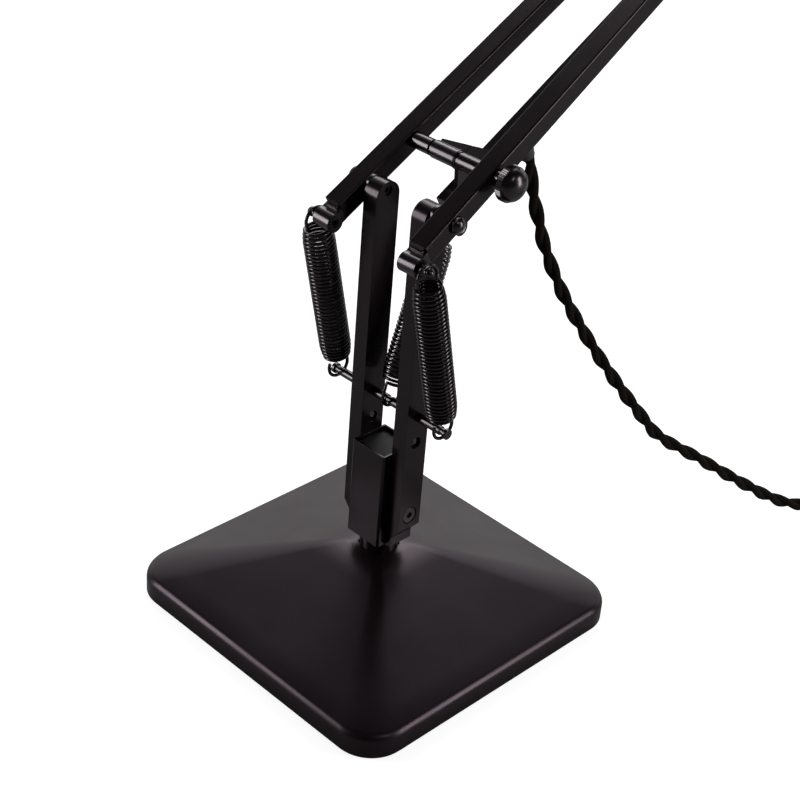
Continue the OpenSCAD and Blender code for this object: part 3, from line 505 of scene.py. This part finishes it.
# %% Model the foot
def raise_face(rise, scale=1.0, at=0.0):
    """Extrudes what is selected upwards and then scales it about the axis."""
    bpy.ops.mesh.extrude_region_move(TRANSFORM_OT_translate={"value": (0, 0, rise)})
    if scale != 1.0:
        bpy.ops.transform.resize(value=(scale, scale, 1), center_override=(0, 0, at))


foot_low, foot_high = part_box("base_shell")
foot_side = foot_high.x - foot_low.x
rim_top, wall_thickness = 13.5 * MM, 2.6 * MM
corner_radius, corner_steps = 21 * MM, 14
edge_radius, edge_steps = 3.6 * MM, 5
seat_half, hole_half = 14 * MM, 8.1 * MM
slope_steps = 6
choose()
bpy.ops.mesh.primitive_plane_add(size=foot_side, location=(0, 0, foot_low.z))
foot = bpy.context.object
foot.name = "foot_casting"
bake_place(foot)
edit_all(foot)
bpy.ops.mesh.bevel(affect="VERTICES", offset=corner_radius, offset_type="OFFSET", segments=corner_steps)
bpy.ops.mesh.select_all(action="SELECT")
raise_face(rim_top - foot_low.z)
run = foot_side / 2 - seat_half
rise = (foot_high.z - rim_top) / slope_steps
height, half = rim_top, foot_side / 2
for step in range(slope_steps):
    new_half = foot_side / 2 - run * (step + 1) / slope_steps
    height += rise
    raise_face(rise, new_half / half, height)
    half = new_half
raise_face(0, hole_half / half, height)
bpy.ops.mesh.delete(type="FACE")
bpy.ops.object.mode_set(mode="OBJECT")
for f in foot.data.polygons:
    f.select = f.center.z < foot_low.z + near and abs(f.normal.z) > facing
bpy.ops.object.mode_set(mode="EDIT")
bpy.ops.mesh.delete(type="FACE")
face_outwards()
bpy.ops.mesh.select_all(action="DESELECT")
bpy.ops.object.mode_set(mode="OBJECT")
for e in foot.data.edges:
    e.select = all(abs(foot.data.vertices[v].co.z - rim_top) < near for v in e.vertices)
bpy.ops.object.mode_set(mode="EDIT")
bpy.ops.mesh.bevel(offset=edge_radius, segments=edge_steps)
bpy.ops.object.mode_set(mode="OBJECT")
wall = foot.modifiers.new("wall", "SOLIDIFY")
wall.thickness = wall_thickness
wall.offset = -1
apply_modifiers(foot)
smooth(foot, angle=40)
dress(foot, "satin_black")
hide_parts("base_shell")
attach(foot, "foot")
print("foot", len(foot.data.polygons), "faces")

# %% [markdown]
# ## Worked edges
# A milled or sawn edge is never perfectly sharp. It is broken with a file or rounded by the paint, and it
# shows as a thin bright line. A copy of each solid is merged into clean faces and given a small bevel.
# The normals are then weighted by face area, so that the large faces shade dead flat up to their edges.
# Drawn tube and milled bar are smoother than the foot's casting, so the same black paint has a tighter
# sheen on them. The block between the uprights is a casting that nobody polished, and it stays matt.

# %% Break the edges of the machined pieces
weld = 0.003 * MM           # corners closer than this are merged
flat_within = radians(0.6)  # faces that turn less than this are merged
broken_above = radians(35)  # edges that turn more than this are broken


def worked_finish(node):
    """A solid's finish. On the block, and on black tube and bar, it isn't quite that of the slot."""
    if node == "stem_block":
        return "raw_casting"
    slot = slot_of_node[node]
    return "tube_black" if slot == "satin_black" else slot


def eased_copy(node, width):
    """The solid's own mesh with its edges broken to the width, dressed and ready to replace it."""
    piece = bpy.data.objects.new(f"{node}_worked", nodes[node].data.copy())
    bpy.context.scene.collection.objects.link(piece)
    edit_all(piece)
    bpy.ops.mesh.remove_doubles(threshold=weld)
    bpy.ops.mesh.dissolve_limited(angle_limit=flat_within)
    bpy.ops.object.mode_set(mode="OBJECT")
    edge = piece.modifiers.new("edge", "BEVEL")
    edge.width = width
    edge.segments = 3
    edge.limit_method = "ANGLE"
    edge.angle_limit = broken_above
    edge.miter_outer = "MITER_ARC"
    apply_modifiers(piece)
    smooth(piece, angle=32)
    shading = piece.modifiers.new("shading", "WEIGHTED_NORMAL")
    shading.keep_sharp = True
    apply_modifiers(piece)
    dress(piece, worked_finish(node))
    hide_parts(node)
    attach(piece, body_of_node[node])
    return piece


edge_width = {
    "upright_left": 0.3, "upright_right": 0.3, "stem_cover": 0.3, "stem_block": 0.4, "stem_bolts": 0.2,
    "arm_bar_left": 0.15, "arm_bar_right": 0.15, "tail_end_left": 0.15, "tail_end_right": 0.15,
    "tail_pins": 0.2, "spring_rod": 0.25, "pivot_bolts": 0.2, "pivot_washers": 0.2,
    "crossbar_shaft": 0.2, "crossbar_spacers": 0.25, "crank_hub": 0.25, "balance_crank": 0.3,
    "crank_pins": 0.2, "link_bar": 0.2, "elbow_plugs": 0.3, "elbow_bolt": 0.2, "elbow_spacers": 0.3,
    "upper_arm_tube": 0.2, "elbow_lug": 0.4, "lug_pin": 0.2, "arm_end_fork": 0.4, "shade_holder": 0.4,
    "shade_pivot_bolt": 0.3, "swivel_collar": 0.5, "cord_gland": 0.2, "lampholder": 0.4,
    "shade_ring": 0.5, "switch_button": 0.3,
}
for node, width in edge_width.items():
    piece = eased_copy(node, width * MM)
    print(piece.name, len(piece.data.polygons))

# %% [markdown]
# ## The springs
# Each spring is one length of wire: half a loop over its pin, a close coil whose last four turns draw in
# at each end, and half a loop over the other pin. Its centre line is worked out turn by turn along the
# line between the pins, and the wire is a round bevel on that curve. The outer springs stretch between
# the arm's tail and the rod. The middle one is made in two halves, split at the middle of its wire.

# %% The line of a spring's wire
wire_radius, coil_radius, loop_radius = 0.85 * MM, 7.35 * MM, 6.1 * MM
pin_gap = 0.05 * MM
loop_start, loop_end, loop_steps = radians(145), radians(360), 20
points_per_turn, draw_turns = 24, 4


def loop_points(pin_radius, toward):
    """A loop over a pin at height zero, from its free end round to the side that runs into the coil."""
    centre_z = toward * (loop_radius - pin_radius - wire_radius - pin_gap)
    angles = [loop_start + (loop_end - loop_start) * k / loop_steps for k in range(loop_steps + 1)]
    return [Vector((0, loop_radius * cos(a), centre_z + toward * loop_radius * sin(a))) for a in angles]


def coil_points(z0, z1, turns):
    """A helix from z0 to z1 whose radius eases from the loops' to the coil's and back."""
    points = []
    total = turns * points_per_turn
    for k in range(total + 1):
        n = k / points_per_turn
        drawn = min(n, turns - n, draw_turns) / draw_turns
        r = loop_radius + (coil_radius - loop_radius) * sin(drawn * pi / 2)
        angle = 2 * pi * n
        points.append(Vector((-r * sin(angle), r * cos(angle), z0 + (z1 - z0) * k / total)))
    return points


def relaxed(points, rounds=2):
    """The same line with its kinks evened out, between ends that stay."""
    for _ in range(rounds):
        inner = [(a + 2 * b + c) / 4 for a, b, c in zip(points, points[1:], points[2:])]
        points = [points[0], *inner, points[-1]]
    return points


def wire_line(length, low_pin, low_gap, high_pin, high_gap, turns):
    """The whole wire. Each gap is the distance from a pin's centre to the coil's nearest face."""
    z0, z1 = low_gap + wire_radius, length - high_gap - wire_radius
    low = loop_points(low_pin, 1)
    high = [Vector((p.x, p.y, p.z + length)) for p in reversed(loop_points(high_pin, -1))]
    return low + relaxed(coil_points(z0, z1, turns)) + high


def wire(name, points, place):
    """A round wire along the points, turned into a mesh at its place."""
    curve = bpy.data.curves.new(name, "CURVE")
    curve.dimensions = "3D"
    curve.bevel_depth = wire_radius
    curve.bevel_resolution = 2
    curve.use_fill_caps = True
    spline = curve.splines.new("POLY")
    spline.points.add(len(points) - 1)
    for target, point in zip(spline.points, points):
        target.co = (*(place @ point), 1)
    piece = bpy.data.objects.new(name, curve)
    bpy.context.scene.collection.objects.link(piece)
    choose(piece)
    bpy.ops.object.convert(target="MESH")
    piece = bpy.context.object
    bpy.ops.object.shade_smooth()
    dress(piece, "spring_black")
    return piece


# %% [markdown]
# The pins are grooved, and each groove's radius and the gap between the pin and the coil come first. The
# solids of a spring and its eyes are replaced by the one wire.

# %% Model the springs
spring_x = 36.4 * MM
rod_groove, tail_groove, lever_groove = 1.8 * MM, 1.7 * MM, 1.6 * MM
rod_gap, tail_gap, lever_gap = 8.7 * MM, 7.1 * MM, 9.7 * MM
outer_turns, middle_turns = 36, 34
wire_spacing = 3 * MM
outer_vector = tail_pin - rod
outer_points = wire_line(outer_vector.length, rod_groove, rod_gap, tail_groove, tail_gap, outer_turns)
outer_line = curve_through(outer_points, wire_spacing)
outer_springs = (("left", -spring_x, "outer_upper_hooks"), ("right", spring_x, "outer_lower_hooks"))
for side, x, other_hooks in outer_springs:
    place = frame_along(rod + Vector((x, 0, 0)), outer_vector)
    piece = wire(f"spring_{side}_wound", outer_line, place)
    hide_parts(f"spring_{side}", other_hooks)
    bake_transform(piece)
    print(piece.name, len(piece.data.polygons))

middle_vector = lever_pin - rod
middle_points = wire_line(middle_vector.length, rod_groove, rod_gap, lever_groove, lever_gap, middle_turns)
middle_line = curve_through(middle_points, wire_spacing)
place = frame_along(rod, middle_vector, Vector((-1, 0, 0)))
half_way = len(middle_line) // 2
lower_half = wire("spring_middle_lower", middle_line[:half_way + 1], place)
upper_half = wire("spring_middle_upper", middle_line[half_way:], place)
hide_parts("spring_middle", "middle_lower_hook")
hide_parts("middle_upper_hook")
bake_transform(lower_half)
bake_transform(upper_half)
print("middle spring", len(lower_half.data.polygons) + len(upper_half.data.polygons))

# %% [markdown]
# ## Turned pieces
# A lathe makes the knob, the shade and the bulb. Each starts as a circle that is extruded along Z from
# station to station and scaled to the radius there, which is how a turner reads a drawing.

# %% Helper for turned pieces
def turned(name, stations, sides):
    """A closed turned form along +Z through (height, radius) stations."""
    choose()
    z0, r0 = stations[0]
    bpy.ops.mesh.primitive_circle_add(vertices=sides, radius=r0, fill_type="NGON", location=(0, 0, z0))
    piece = bpy.context.object
    piece.name = name
    bake_place(piece)
    edit_all(piece)
    for (za, ra), (zb, rb) in zip(stations, stations[1:]):
        raise_face(zb - za, rb / ra, zb)
    face_outwards()
    bpy.ops.object.mode_set(mode="OBJECT")
    return piece


def arc_stations(centre_z, base_r, radius_z, radius_r, start, end, steps):
    """Stations on an elliptical arc, angles in degrees from the outward radius."""
    angles = [radians(start + (end - start) * k / steps) for k in range(steps + 1)]
    return [(centre_z + radius_z * sin(a), base_r + radius_r * cos(a)) for a in angles]


# %% [markdown]
# ## The coil's tie
# A strap holds the stored coil: a box round the bundle of turns, open at both ends, with its long edges
# rounded and its wall made solid.

# %% Model the tie
above_turn, beside_turn = 3.6 * MM, 3.7 * MM
tie_length, tie_edge, strap_thickness = 8 * MM, 3 * MM, 0.8 * MM
bundle_low, bundle_high = low_turn - above_turn, high_turn + above_turn
bundle_size = (outer_turn - inner_turn + 2 * beside_turn, tie_length, bundle_high - bundle_low)
bundle_centre = coil_centre + Vector((-(inner_turn + outer_turn) / 2, 0, (bundle_low + bundle_high) / 2))
choose()
bpy.ops.mesh.primitive_cube_add(size=1, scale=bundle_size, location=bundle_centre)
tie = bpy.context.object
tie.name = "coil_tie"
bake_place(tie)
bpy.ops.object.mode_set(mode="EDIT")
bpy.ops.mesh.select_mode(type="FACE")
bpy.ops.mesh.select_all(action="DESELECT")
bpy.ops.object.mode_set(mode="OBJECT")
for f in tie.data.polygons:
    f.select = abs(f.normal.y) > facing
bpy.ops.object.mode_set(mode="EDIT")
bpy.ops.mesh.delete(type="ONLY_FACE")
bpy.ops.mesh.select_mode(type="EDGE")
bpy.ops.mesh.select_all(action="DESELECT")
bpy.ops.object.mode_set(mode="OBJECT")
for e in tie.data.edges:
    ends = [tie.data.vertices[v].co for v in e.vertices]
    e.select = abs(ends[0].y - ends[1].y) > near
bpy.ops.object.mode_set(mode="EDIT")
bpy.ops.mesh.bevel(offset=tie_edge, segments=4)
bpy.ops.mesh.select_mode(type="VERT")
face_outwards()
bpy.ops.object.mode_set(mode="OBJECT")
strap = tie.modifiers.new("strap", "SOLIDIFY")
strap.thickness = strap_thickness
strap.offset = -1
apply_modifiers(tie)
smooth(tie, angle=40)
dress(tie, "moulding")
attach(tie, "stem")
print("tie", len(tie.data.polygons))

# %% [markdown]
# ## The plug
# The plug's body is a block with round edges that narrows towards the flex. Its sleeve is a turned cone
# with four grooves, so that it can bend with the flex.

# %% Model the plug
sleeve_length = 24 * MM
body_front = plug_high.y - sleeve_length
body_size = (plug_high.x - plug_low.x, body_front - plug_low.y, plug_high.z - plug_low.z)
body_centre = (plug_x, (plug_low.y + body_front) / 2, plug_z)
narrowing, body_edge = 0.8, 3.5 * MM
groove_depth = 0.9 * MM
choose()
bpy.ops.mesh.primitive_cube_add(size=1, scale=body_size, location=body_centre)
plug_body = bpy.context.object
plug_body.name = "plug_moulded"
bake_place(plug_body)
for f in plug_body.data.polygons:
    f.select = f.normal.y > facing
bpy.ops.object.mode_set(mode="EDIT")
bpy.ops.transform.resize(value=(narrowing, 1, narrowing), center_override=(plug_x, body_front, plug_z))
bpy.ops.mesh.select_all(action="SELECT")
bpy.ops.mesh.bevel(offset=body_edge, segments=4)
bpy.ops.object.mode_set(mode="OBJECT")
smooth(plug_body, angle=40)
sleeve_stations = [(-2 * MM, 5.4 * MM), (2 * MM, 5.4 * MM)]
for at, r in ((4, 5.3), (8.6, 4.95), (13.2, 4.6), (17.8, 4.25)):
    groove_start, rib_radius = at * MM, r * MM
    sleeve_stations += [(groove_start, rib_radius), (groove_start + 0.4 * MM, rib_radius - groove_depth),
                        (groove_start + 1.4 * MM, rib_radius - groove_depth),
                        (groove_start + 1.8 * MM, rib_radius - 0.1 * MM)]
sleeve_stations.append((sleeve_length, 3.9 * MM))
sleeve = turned("plug_sleeve", sleeve_stations, sides=32)
bake_place(sleeve, frame_along(Vector((plug_x, body_front, plug_z)), Vector((0, 1, 0))))
smooth(sleeve, angle=30)
for piece in (plug_body, sleeve):
    dress(piece, "moulding")
    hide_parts("plug")
    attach(piece, "stem")
print("plug", len(plug_body.data.polygons) + len(sleeve.data.polygons))

# %% [markdown]
# ## The tension knob
# The tension knob has a straight-knurled rim between a short flare and a full dome. The knurl is made by
# scaling every other edge of the rim outwards.

# %% Model the knob
knob_low, knob_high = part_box("tension_knob")
knob_radius = (knob_high.y - knob_low.y) / 2
rim_start, rim_end = 2 * MM, 5.6 * MM
ridge_count, ridge_height = 54, 0.35 * MM
rim_radius = knob_radius - ridge_height
ridge_scale = knob_radius / rim_radius
rim_edge = 0.3 * MM
knob_stations = [(0, 5.6 * MM), (0.9 * MM, 6.6 * MM), (1.6 * MM, 7.7 * MM),
                 (rim_start, rim_radius - 0.1 * MM), (rim_start + rim_edge, rim_radius),
                 (rim_end - rim_edge, rim_radius), (rim_end, rim_radius - 0.2 * MM)]
dome_height = knob_high.x - knob_low.x - rim_end
dome_radius = rim_radius - 0.35 * MM
knob_stations += arc_stations(rim_end, 0, dome_height, dome_radius, start=6, end=88, steps=12)
knob = turned("tension_knob_knurled", knob_stations, sides=2 * ridge_count)
for v in knob.data.vertices:
    share_round = (atan2(v.co.y, v.co.x) % (2 * pi)) / (2 * pi)
    on_ridge = round(share_round * 2 * ridge_count) % 2 == 0
    v.select = on_ridge and rim_start + near < v.co.z < rim_end - near
for e in knob.data.edges:
    e.select = all(knob.data.vertices[i].select for i in e.vertices)
for f in knob.data.polygons:
    f.select = False
bpy.ops.object.mode_set(mode="EDIT")
bpy.ops.transform.resize(value=(ridge_scale, ridge_scale, 1), center_override=(0, 0, 0))
bpy.ops.object.mode_set(mode="OBJECT")
knob_foot = Vector((knob_low.x, crossbar.y, crossbar.z))
bake_place(knob, frame_along(knob_foot, Vector((1, 0, 0)), Vector((0, 0, 1))))
smooth(knob, angle=30)
dress(knob, "gloss_black")
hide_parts("tension_knob")
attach(knob, "knob")
print("knob", len(knob.data.polygons))

# %% [markdown]
# ## The shade
# The shade is spun from one disc: a flat crown, a short neck, a skirt that flares and a lip rolled
# outwards. Outside and inside are one closed form, so the stations run down the outside and back up the
# inside.

# %% Model the shade
shade_lean = radians(-24)
shade_up = Vector((0, -sin(shade_lean), cos(shade_lean)))
shade_out = Vector((0, cos(shade_lean), sin(shade_lean)))
shade_reach, shade_sides = 36 * MM, 96
shade_axis = shade_pivot - shade_reach * shade_out
shoulder, neck_length, skirt_length = -16 * MM, 10 * MM, 82 * MM
neck_radius, mouth_radius, crown_hole = 24 * MM, 74 * MM, 8 * MM
sheet, lip_radius = 1.2 * MM, 1.3 * MM
flare, skirt_steps = 0.72, 24  # a flare below 1 opens fastest just under the neck
skirt_top = shoulder - neck_length
skirt = []
for k in range(skirt_steps + 1):
    t = k / skirt_steps
    z = skirt_top - (skirt_length - neck_length) * t
    skirt.append((z, neck_radius + (mouth_radius - neck_radius) * t ** flare))
mouth = shoulder - skirt_length
outside = [(shoulder - 0.1 * MM, crown_hole), (shoulder - 0.1 * MM, neck_radius - 1.8 * MM),
           (shoulder - 0.6 * MM, neck_radius - 0.5 * MM), (shoulder - 1.8 * MM, neck_radius)] + skirt
lip = arc_stations(mouth, mouth_radius, lip_radius, lip_radius, start=60, end=-200, steps=8)
inside = [(z, r - sheet) for z, r in reversed(skirt[:-1])]
inside += [(shoulder - 2.4 * MM, neck_radius - sheet), (shoulder - 1.4 * MM, neck_radius - 2.4 * MM),
           (shoulder - 1.3 * MM, crown_hole)]
shade = turned("spun_shade", outside + lip + inside, shade_sides)
bpy.ops.object.mode_set(mode="EDIT")
bpy.ops.mesh.select_all(action="DESELECT")
bpy.ops.mesh.select_face_by_sides(number=shade_sides)
bpy.ops.mesh.delete(type="FACE")
bpy.ops.mesh.select_non_manifold()
bpy.ops.mesh.bridge_edge_loops()
face_outwards()
bpy.ops.object.mode_set(mode="OBJECT")
shade_place = frame_along(shade_axis, shade_up)
bake_place(shade, shade_place)
smooth(shade, angle=40)
dress(shade, "satin_black")
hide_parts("shade")
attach(shade, "shade_head")
print("shade", len(shade.data.polygons))

# %% [markdown]
# ## The bulb
# The bulb is opal glass: a globe that narrows into a neck.

# %% Model the bulb
bulb_radius, bulb_neck = 24 * MM, 6 * MM
holder_drop = 12 * MM
lamp_end = shoulder - holder_drop
globe = lamp_end - bulb_neck - bulb_radius
bulb_stations = arc_stations(globe, 0, bulb_radius, bulb_radius, start=-88, end=48, steps=22)
bulb_stations += [(lamp_end - 5 * MM, 14.2 * MM), (lamp_end - 3 * MM, 13.2 * MM),
                  (lamp_end + 8.5 * MM, 13.1 * MM)]
bulb = turned("opal_bulb", bulb_stations, sides=64)
bake_place(bulb, shade_place)
smooth(bulb, angle=50)
dress(bulb, "bulb_glass")
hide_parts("bulb")
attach(bulb, "shade_head")
print("bulb", len(bulb.data.polygons))

# %% [markdown]
# ## Stage and light
# A pale floor, just under the felt. Near the lamp the floor's own glow, which only the camera sees, stays
# low, so that shadows show. Further out it rises until the floor meets the surround without an edge.

# %% Floor
floor_level, floor_size, floor_tone = -0.4 * MM, 8, 0.45
near_distance, far_distance = 0.75, 1.8
near_glow, far_glow = 0.86, 1.05
choose()
bpy.ops.mesh.primitive_plane_add(size=floor_size, location=(0, 0, floor_level))
floor = bpy.context.object
floor.name = "floor"
floor_material, floor_tree, floor_shader = new_material("pale floor", (floor_tone,) * 3, roughness=0.9)
floor_shader.inputs["Specular IOR Level"].default_value = 0
distance = calculated(floor_tree, "ShaderNodeVectorMath", "LENGTH", coordinates(floor_tree, "Object"))
rise = mapped(floor_tree, distance, near_distance, far_distance, near_glow, far_glow)
to_camera = floor_tree.nodes.new("ShaderNodeLightPath").outputs["Is Camera Ray"]
glow = floor_tree.nodes.new("ShaderNodeEmission")
strength = calculated(floor_tree, "ShaderNodeMath", "MULTIPLY", to_camera, rise)
floor_tree.links.new(strength, glow.inputs["Strength"])
both = floor_tree.nodes.new("ShaderNodeAddShader")
floor_tree.links.new(floor_shader.outputs["BSDF"], both.inputs[0])
floor_tree.links.new(glow.outputs["Emission"], both.inputs[1])
floor_tree.links.new(both.outputs["Shader"], floor_tree.nodes["Material Output"].inputs["Surface"])
floor.data.materials.append(floor_material)
print("floor", floor_size, "m wide")

# %% [markdown]
# To the camera the surround is plain white. In reflections it is a lit wall behind the lamp and a dark
# room elsewhere, so faces that look up or towards the viewer stay nearly black while those that slope
# away catch the wall. The steps from dark to lit are placed by how squarely a direction points at the
# wall.

# %% Surround
wall_direction = (-0.66, 0.75, 0)
dark_level, white_level = 0.045, 1
wall_edge = ((0.34, dark_level), (0.46, 0.20), (0.56, 0.95))
world = bpy.data.worlds.new("studio")
bpy.context.scene.world = world
world.use_nodes = True
sky = world.node_tree
background = sky.nodes["Background"]
direction = coordinates(sky, "Generated")
squareness = calculated(sky, "ShaderNodeVectorMath", "DOT_PRODUCT", direction, wall_direction)
ramp = sky.nodes.new("ShaderNodeValToRGB")
stops = ramp.color_ramp.elements
for position, level in wall_edge:
    stops.new(position).color = (level, level, level, 1)
stops[0].color = (dark_level, dark_level, dark_level, 1)
stops[len(stops) - 1].color = (white_level, white_level, white_level, 1)
sky.links.new(squareness, ramp.inputs["Fac"])
seen_directly = sky.nodes.new("ShaderNodeLightPath").outputs["Is Camera Ray"]
choice = sky.nodes.new("ShaderNodeMix")
choice.data_type = "RGBA"
choice.inputs["B"].default_value = (white_level, white_level, white_level, 1)
sky.links.new(seen_directly, choice.inputs["Factor"])
sky.links.new(ramp.outputs["Color"], choice.inputs["A"])
sky.links.new(choice.outputs["Result"], background.inputs["Color"])
background.inputs["Strength"].default_value = 1.0
print("surround with", len(stops), "stops")

# %% [markdown]
# Four soft lamps: a large one over the wall side that lights the floor evenly, two tall strips at the
# left and the right that draw the streaks along the turned pieces, and a small one for the arm's upper
# edge.

# %% Lamps
def soft_lamp(name, place, aim, size, power):
    """A rectangle of light at place that shines towards aim."""
    data = bpy.data.lights.new(name, "AREA")
    data.shape = "RECTANGLE"
    data.size, data.size_y = size
    data.energy = power
    lamp = bpy.data.objects.new(name, data)
    bpy.context.scene.collection.objects.link(lamp)
    way = Vector(aim) - Vector(place)
    lamp.matrix_world = Matrix.Translation(place) @ way.to_track_quat("-Z", "Y").to_matrix().to_4x4()


soft_lamp("back_lamp", (-0.75, 0.85, 1.25), (0, 0.05, 0.1), (0.8, 0.8), 9)
soft_lamp("left_strip", (-0.95, -1.15, 0.42), (0, 0, 0.2), (0.35, 0.9), 12.5)
soft_lamp("right_strip", (1.25, 0.82, 0.42), (0, 0, 0.2), (0.35, 0.9), 11.5)
soft_lamp("edge_lamp", (1.15, -0.1, 1.1), (0, 0.05, 0.25), (0.25, 0.25), 1.5)
print("lamps set")

# %% [markdown]
# ## Finish
# The view transform is set to Standard and nothing is left selected.

# %% Finish
bpy.context.scene.view_settings.view_transform = "Standard"
choose()
